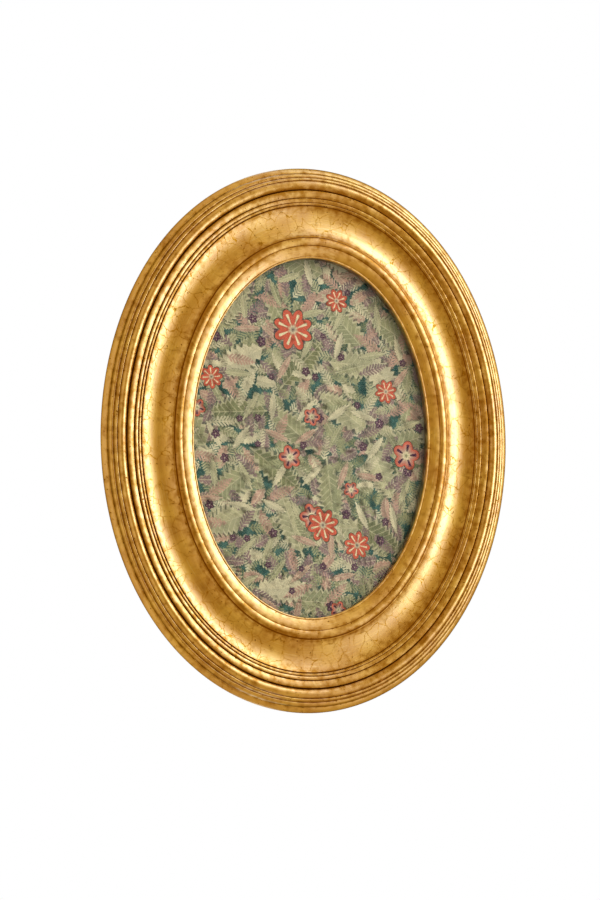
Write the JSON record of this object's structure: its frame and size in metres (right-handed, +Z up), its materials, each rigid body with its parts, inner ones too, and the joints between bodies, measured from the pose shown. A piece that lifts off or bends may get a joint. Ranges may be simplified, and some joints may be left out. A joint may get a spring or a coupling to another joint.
{
  "type": "oval picture frame",
  "caption": "Oval gilded wood picture frame with a stepped moulding, glass, a floral print, turn buttons on its back and a hanging ring.",
  "frame": {"origin": "the point on the wall where the hook carries the raised hanger ring", "axes": "+Z up, +Y into the wall, so the picture faces -Y; the wall is the plane y = 0"},
  "size_m": [0.205, 0.0203, 0.255],
  "materials": {
    "gilded_wood": "gold leaf over red bole on wood, antiqued",
    "dowel_wood": "bare beech",
    "glass": "clear float glass",
    "print": "printed paper, matte",
    "card": "grey-buff card",
    "hardboard": "smooth hardboard",
    "zinc_steel": "zinc plated, satin",
    "brass_screw": "plain brass",
    "felt": "pressed felt"
  },
  "bodies": {
    "frame": {"moulding_top": "gilded_wood", "moulding_right": "gilded_wood", "moulding_bottom": "gilded_wood", "moulding_left": "gilded_wood", "joint_dowels": "dowel_wood", "glass_pane": "glass", "print_sheet": "print", "mount_card": "card", "filler_board": "card", "back_board": "hardboard", "turn_button_screws": "brass_screw", "hanger_strap": "zinc_steel", "hanger_screws": "brass_screw", "wall_bumpers": "felt"},
    "turn_button_1": {"turn_button_1": "zinc_steel"},
    "turn_button_2": {"turn_button_2": "zinc_steel"},
    "turn_button_3": {"turn_button_3": "zinc_steel"},
    "turn_button_4": {"turn_button_4": "zinc_steel"},
    "turn_button_5": {"turn_button_5": "zinc_steel"},
    "turn_button_6": {"turn_button_6": "zinc_steel"},
    "hanger_ring": {"hanger_ring": "zinc_steel"}
  },
  "joints": [
    {"name": "turn_button_1_turn", "type": "hinge", "parent": "frame", "child": "turn_button_1", "pos_m": [0.072, -0.0035, -0.1166], "axis": [0, 1, 0], "continuous": true},
    {"name": "turn_button_2_turn", "type": "hinge", "parent": "frame", "child": "turn_button_2", "pos_m": [0.03775, -0.0035, -0.03381], "axis": [0, 1, 0], "continuous": true},
    {"name": "turn_button_3_turn", "type": "hinge", "parent": "frame", "child": "turn_button_3", "pos_m": [-0.03775, -0.0035, -0.03381], "axis": [0, 1, 0], "continuous": true},
    {"name": "turn_button_4_turn", "type": "hinge", "parent": "frame", "child": "turn_button_4", "pos_m": [-0.072, -0.0035, -0.1166], "axis": [0, 1, 0], "continuous": true},
    {"name": "turn_button_5_turn", "type": "hinge", "parent": "frame", "child": "turn_button_5", "pos_m": [-0.03775, -0.0035, -0.19939], "axis": [0, 1, 0], "continuous": true},
    {"name": "turn_button_6_turn", "type": "hinge", "parent": "frame", "child": "turn_button_6", "pos_m": [0.03775, -0.0035, -0.19939], "axis": [0, 1, 0], "continuous": true},
    {"name": "hanger_ring_swing", "type": "hinge", "parent": "frame", "child": "hanger_ring", "pos_m": [0, -0.0018, -0.0076], "axis": [-1, 0, 0], "range_deg": [0, 180]}
  ]
}
